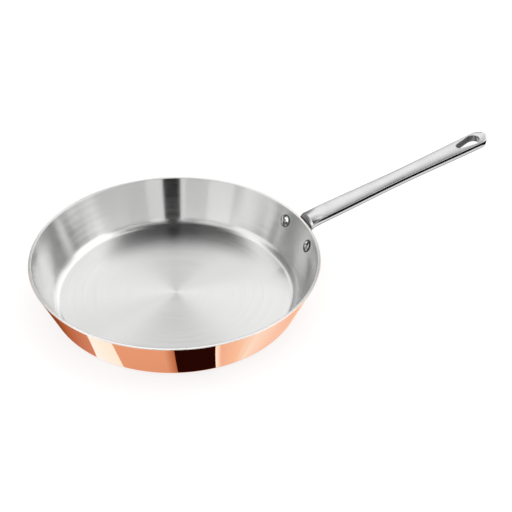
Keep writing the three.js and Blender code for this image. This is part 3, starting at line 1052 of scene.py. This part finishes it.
# Softboxes of the studio. Each has the start, the end and the softness of its turn and of its height, in
# degrees. Turns go to the right of straight away, or of straight back to the camera.
FAR_BOXES = [
    {"turn": (-127.0, -80.0, 5.0), "height": (7.0, 62.0, 5.0), "level": 1.14},
    {"turn": (-80.0, -24.0, 6.0), "height": (50.0, 63.0, 5.0), "level": 1.25},
    {"turn": (-28.0, 15.0, 4.0), "height": (30.0, 51.0, 4.0), "level": 0.9},
    {"turn": (12.0, 52.0, 5.0), "height": (13.0, 70.0, 5.0), "level": 1.28},
    {"turn": (54.0, 110.0, 5.0), "height": (29.0, 65.0, 5.0), "level": 1.67},
    {"turn": (71.0, 110.0, 5.0), "height": (8.0, 32.0, 5.0), "level": 1.2},
]
NEAR_BOXES = [
    {"turn": (-53.0, 70.0, 5.0), "height": (9.0, 23.0, 4.0), "level": 0.78},
    {"turn": (-45.0, -24.0, 2.0), "height": (0.0, 25.0, 4.0), "level": 0.25},
    {"turn": (-6.0, 27.0, 0.8), "height": (24.0, 40.0, 3.0), "level": 1.35},
    {"turn": (-53.0, -22.0, 3.0), "height": (40.0, 62.0, 4.0), "level": 1.4},
    {"turn": (-22.0, 40.0, 3.0), "height": (40.0, 62.0, 4.0), "level": 0.62},
    {"turn": (40.0, 62.0, 3.0), "height": (40.0, 62.0, 4.0), "level": 1.0},
]
CAMERA_GAP = {"turn": (-1.5, 12.5, 0.8), "height": (-40.0, 78.0, 4.0)}
# Brightness of the room behind them, and the heights between which it goes over into the ceiling
ROOM_LEVEL = 0.25
ROOM_TOP = (56.0, 74.0)


def box_shape(tree, turn, height, box):
    return calc(tree, "MULTIPLY", window(tree, turn, *box["turn"]), window(tree, height, *box["height"]))


def add_world(scene, look):
    """A ring of softboxes under a dark ceiling, open where the camera stands."""
    world = bpy.data.worlds.new("studio")
    tree = empty_tree(world)
    toward = add_node(tree, "ShaderNodeTexCoord").outputs["Generated"]
    turned = add_node(tree, "ShaderNodeVectorRotate", {"Vector": toward, "Angle": CAMERA_TURN},
                      rotation_type="Z_AXIS")
    parts = split(tree, turned.outputs["Vector"])
    height = calc(tree, "DEGREES", calc(tree, "ARCSINE", parts["Z"]))
    away = calc(tree, "DEGREES", calc(tree, "ARCTAN2", parts["X"], parts["Y"]))
    back = calc(tree, "DEGREES", calc(tree, "ARCTAN2", parts["X"], calc(tree, "MULTIPLY", parts["Y"], -1.0)))
    level = ramp(tree, height, *ROOM_TOP, ROOM_LEVEL, look.ceiling)
    for turn, boxes in ((away, FAR_BOXES), (back, NEAR_BOXES)):
        for box in boxes:
            level = calc(tree, "MULTIPLY_ADD", box_shape(tree, turn, height, box), box["level"], level)
    gap = box_shape(tree, back, height, CAMERA_GAP)
    level = calc(tree, "MULTIPLY", level, calc(tree, "SUBTRACT", 1.0, gap))
    camera_ray = add_node(tree, "ShaderNodeLightPath").outputs["Is Camera Ray"]
    level = calc(tree, "MAXIMUM", level, camera_ray)
    glow = add_node(tree, "ShaderNodeBackground", {"Color": (1.0, 1.0, 1.0, 1.0), "Strength": level})
    add_node(tree, "ShaderNodeOutputWorld", {"Surface": glow.outputs["Background"]})
    scene.world = world


def add_sun(look):
    """A broad soft light overhead, for the floor and the pan's shadow."""
    data = bpy.data.lights.new("sun", "SUN")
    data.energy = look.sun
    data.angle = SUN_SPREAD
    add_object("sun", data).visible_glossy = False


# Cards on the floor that the polished metal reflects. A fan card runs through a row of edges, each given by
# its turn at two radii, in degrees to the right of straight away, and by its brightness there. A handle card
# lies where the camera finds the floor in the handle's side, between two leans of that side and up to a last
# turn round the tip, in degrees.
FAN_RADII = (116.0 * MM, 131.0 * MM)
FAN_REACH = (113.5 * MM, 150.0 * MM)
BLACK = (0.024, 0.006, 0.003)
COOL = (1.28, 2.45, 3.6)
GLANCE = (1.04, 0.84, 0.62)
PALE = (1.15, 1.5, 1.7)
BRIGHT = (1.18, 2.0, 2.75)
DIM = (1.1, 1.3, 1.55)
WHITE = (1.6, 1.6, 1.6)
PLAIN = (0.93, 0.92, 0.92)
RUSSET = (0.6, 0.38, 0.27)
GREY = (0.8, 0.62, 0.54)
BROWN = (0.54, 0.24, 0.12)
DARK_BROWN = (0.31, 0.1, 0.03)
SHADE = (0.01, 0.01, 0.01)
SILVER = (0.86, 0.86, 0.86)
SLATE = (0.26, 0.26, 0.26)
FAN_CARDS = [
    [(92.0, 92.0, GLANCE), (114.0, 106.0, GLANCE), (137.0, 126.0, PALE), (146.0, 139.0, BRIGHT),
     (150.5, 148.0, PALE), (156.2, 155.4, DIM), (158.9, 158.2, COOL)],
    [(159.0, 158.3, BLACK), (176.0, 177.1, BLACK)],
    [(176.0, 177.1, RUSSET), (180.5, 181.5, PLAIN)],
    [(200.8, 205.8, COOL), (215.0, 220.3, COOL)],
    [(215.0, 220.3, GREY), (231.0, 238.0, BROWN), (240.0, 247.0, DARK_BROWN), (262.0, 269.0, DARK_BROWN)],
    [(292.0, 292.0, BLACK), (304.0, 304.0, BLACK)],
    [(318.0, 318.0, WHITE), (330.0, 330.0, WHITE)],
    [(24.0, 24.0, BLACK), (40.0, 40.0, BLACK)],
    [(76.0, 76.0, WHITE), (86.0, 86.0, WHITE)],
]
HANDLE_CARDS = [
    {"paint": SHADE, "leans": (5.5, -6.0), "last_turn": 58.0},
    {"paint": SILVER, "leans": (19.0, 5.5), "last_turn": 40.0},
    {"paint": SLATE, "leans": (45.0, 19.0), "last_turn": 20.0},
]
HANDLE_CARD_START = 4.0 * MM
CARD_HEIGHT = 0.5 * MM
FAN_STEP = 4.0
CARD_NECK_STEPS = 8
CARD_BAR_STEPS = 12
CARD_TIP_STEPS = 8


def fan_columns(start, end):
    """Pairs of points across a fan card from one of its edges to the next, each pair with its brightness."""
    columns = []
    for t in spread(0.0, 1.0, max(1, math.ceil((end[0] - start[0]) / FAN_STEP))):
        inner, outer = (blend(start[i], end[i], t) for i in (0, 1))
        slant = (outer - inner) / (FAN_RADII[1] - FAN_RADII[0])
        pair = []
        for radius in FAN_REACH:
            turn = math.radians(inner + slant * (radius - FAN_RADII[0]))
            pair.append((radius * math.sin(turn), radius * math.cos(turn), CARD_HEIGHT))
        columns.append((pair, Vector(start[2]).lerp(end[2], t)))
    return columns


def side_turn(form, x):
    """How far the handle's side turns towards its tip where the handle narrows, in degrees."""
    step = 0.5 * MM
    narrowing = form.half_width(x - step, 0.0) - form.half_width(min(x + step, form.end), 0.0)
    return math.degrees(math.atan2(narrowing, 2.0 * step))


def seen_in_side(form, eye, x, turn, lean):
    """Where the camera finds the floor in the handle's side, which turns round the tip and leans over."""
    turn, lean = math.radians(turn), math.radians(lean)
    out = Vector((math.sin(turn), -math.cos(turn), 0.0))
    spot = Vector((x, 0.0, form.line(x) - form.sizes.thickness / 2.0)) + form.half_width(x, 0.0) * out
    ray = (spot - eye).reflect(out * math.cos(lean) - Vector((0.0, 0.0, math.sin(lean))))
    return spot + ray * (CARD_HEIGHT - spot.z) / ray.z


def handle_columns(form, eye, leans, last_turn):
    """Pairs of points across a handle card, from the neck to the tip."""
    neck = spread(form.nose + HANDLE_CARD_START, form.neck_end, CARD_NECK_STEPS)
    bar = spread(form.neck_end, form.end, CARD_BAR_STEPS)[1:]
    stations = [(x, side_turn(form, x)) for x in neck + bar]
    stations += [(form.end, turn) for turn in spread(0.0, last_turn, CARD_TIP_STEPS)[1:]]
    return [[seen_in_side(form, eye, x, turn, lean) for lean in leans] for x, turn in stations]


def add_card(made, glow, columns):
    """Add one card to the mesh, through pairs of points that each have their brightness."""
    pairs = []
    for places, paint in columns:
        pairs.append([made.verts.new(place) for place in places])
        for point in pairs[-1]:
            point[glow] = opaque(paint)
    for (a, b), (c, d) in zip(pairs, pairs[1:]):
        made.faces.new((c, d, b, a))


def add_cards(scene):
    """Bright and dark cards, seen only in reflections."""
    made = bmesh.new()
    glow = made.verts.layers.float_color.new("glow")
    for edges in FAN_CARDS:
        for start, end in zip(edges, edges[1:]):
            add_card(made, glow, fan_columns(start, end))
    made.transform(STAGE_TURN)
    form, eye = HandleForm(scene), scene.camera.matrix_world.translation
    for card in HANDLE_CARDS:
        pairs = handle_columns(form, eye, card["leans"], card["last_turn"])
        add_card(made, glow, [(pair, card["paint"]) for pair in pairs])
    cards = add_object("cards", finished_mesh("cards", made))
    material = bpy.data.materials.new("reflector_card")
    tree = empty_tree(material)
    brightness = add_node(tree, "ShaderNodeAttribute", attribute_name="glow").outputs["Color"]
    light = add_node(tree, "ShaderNodeEmission", {"Color": brightness, "Strength": 1.0})
    add_node(tree, "ShaderNodeOutputMaterial", {"Surface": light.outputs[0]})
    cards.data.materials.append(material)
    cards.visible_camera = False
    cards.visible_diffuse = False
    cards.visible_shadow = False


# Operators

class PAN_OT_copper_shell(bpy.types.Operator):
    """Turn the polished copper shell"""

    bl_idname = "pan.copper_shell"
    bl_label = "Copper Shell"

    def execute(self, context):
        bowl = context.scene.pan_bowl
        mesh = ply_mesh("shell", bowl, 0.0, bowl.copper, bowl.outer_corner - bowl.copper,
                        outer_edge=bowl.rim_edge)
        add_piece("shell", mesh, copper_finish(context.scene.pan_finish), "copper", "copper_shell")
        return {"FINISHED"}


class PAN_OT_core(bpy.types.Operator):
    """Turn the aluminium core, which shows at the rim"""

    bl_idname = "pan.core"
    bl_label = "Aluminium Core"

    def execute(self, context):
        bowl = context.scene.pan_bowl
        outer = bowl.copper + bowl.bond
        inner = outer + bowl.core
        mesh = ply_mesh("core", bowl, outer, inner, bowl.outer_corner - inner)
        add_piece("core", mesh, core_finish(context.scene.pan_finish), "core", "aluminium_core")
        return {"FINISHED"}


class PAN_OT_liner(bpy.types.Operator):
    """Turn the brushed steel liner"""

    bl_idname = "pan.liner"
    bl_label = "Steel Liner"

    def execute(self, context):
        bowl = context.scene.pan_bowl
        inner = wall_thickness(bowl)
        mesh = ply_mesh("liner", bowl, inner - bowl.liner, inner, bowl.inner_corner,
                        inner_edge=bowl.rim_edge)
        add_piece("liner", mesh, liner_finish(context.scene.pan_finish), "liner", "steel_liner")
        return {"FINISHED"}


class PAN_OT_handle(bpy.types.Operator):
    """Shape the cast handle"""

    bl_idname = "pan.handle"
    bl_label = "Handle"

    def execute(self, context):
        scene = context.scene
        form = HandleForm(scene)
        add_piece("cast_handle", handle_mesh(form), handle_finish(scene.pan_finish), "handle", "handle")
        return {"FINISHED"}


class PAN_OT_rivets(bpy.types.Operator):
    """Set the two rivets"""

    bl_idname = "pan.rivets"
    bl_label = "Rivets"

    def execute(self, context):
        scene = context.scene
        form = HandleForm(scene)
        material = rivet_finish(scene.pan_finish)
        mesh = rivets_mesh(scene.pan_bowl, scene.pan_rivet, form, material)
        add_piece("rivets", mesh, material, "rivet", "rivet_left", "rivet_right")
        return {"FINISHED"}


class PAN_OT_stage(bpy.types.Operator):
    """Set up the camera, the floor and the light"""

    bl_idname = "pan.stage"
    bl_label = "Stage"

    def execute(self, context):
        scene = context.scene
        add_camera(scene)
        add_floor(scene.pan_stage)
        add_world(scene, scene.pan_stage)
        add_sun(scene.pan_stage)
        add_cards(scene)
        scene.view_settings.view_transform = "Standard"
        return {"FINISHED"}


class PAN_PT_sidebar(bpy.types.Panel):
    """The pan's sizes, finishes and pieces"""

    bl_idname = "PAN_PT_sidebar"
    bl_label = "Frying Pan"
    bl_space_type = "VIEW_3D"
    bl_region_type = "UI"
    bl_category = "Frying Pan"

    def draw(self, context):
        for settings in SETTINGS:
            box = self.layout.box()
            group = getattr(context.scene, settings)
            for name in group.bl_rna.properties.keys():
                if name not in ("rna_type", "name"):
                    box.prop(group, name)
        for operator in OPERATORS:
            self.layout.operator(operator.bl_idname)


SETTINGS = {
    "pan_bowl": PanBowlSizes,
    "pan_rivet": PanRivetSizes,
    "pan_handle": PanHandleSizes,
    "pan_finish": PanFinish,
    "pan_stage": PanStageLook,
}
OPERATORS = [
    PAN_OT_stage,
    PAN_OT_copper_shell,
    PAN_OT_core,
    PAN_OT_liner,
    PAN_OT_handle,
    PAN_OT_rivets,
]


def register():
    for made in [*SETTINGS.values(), *OPERATORS, PAN_PT_sidebar]:
        bpy.utils.register_class(made)
    for name, group in SETTINGS.items():
        setattr(bpy.types.Scene, name, PointerProperty(type=group))


def unregister():
    for name in SETTINGS:
        delattr(bpy.types.Scene, name)
    for made in [PAN_PT_sidebar, *reversed(OPERATORS), *reversed(SETTINGS.values())]:
        bpy.utils.unregister_class(made)


def main():
    register()
    bpy.ops.pan.stage()
    bpy.ops.pan.copper_shell()
    bpy.ops.pan.core()
    bpy.ops.pan.liner()
    bpy.ops.pan.handle()
    bpy.ops.pan.rivets()


if __name__ == "__main__":
    main()
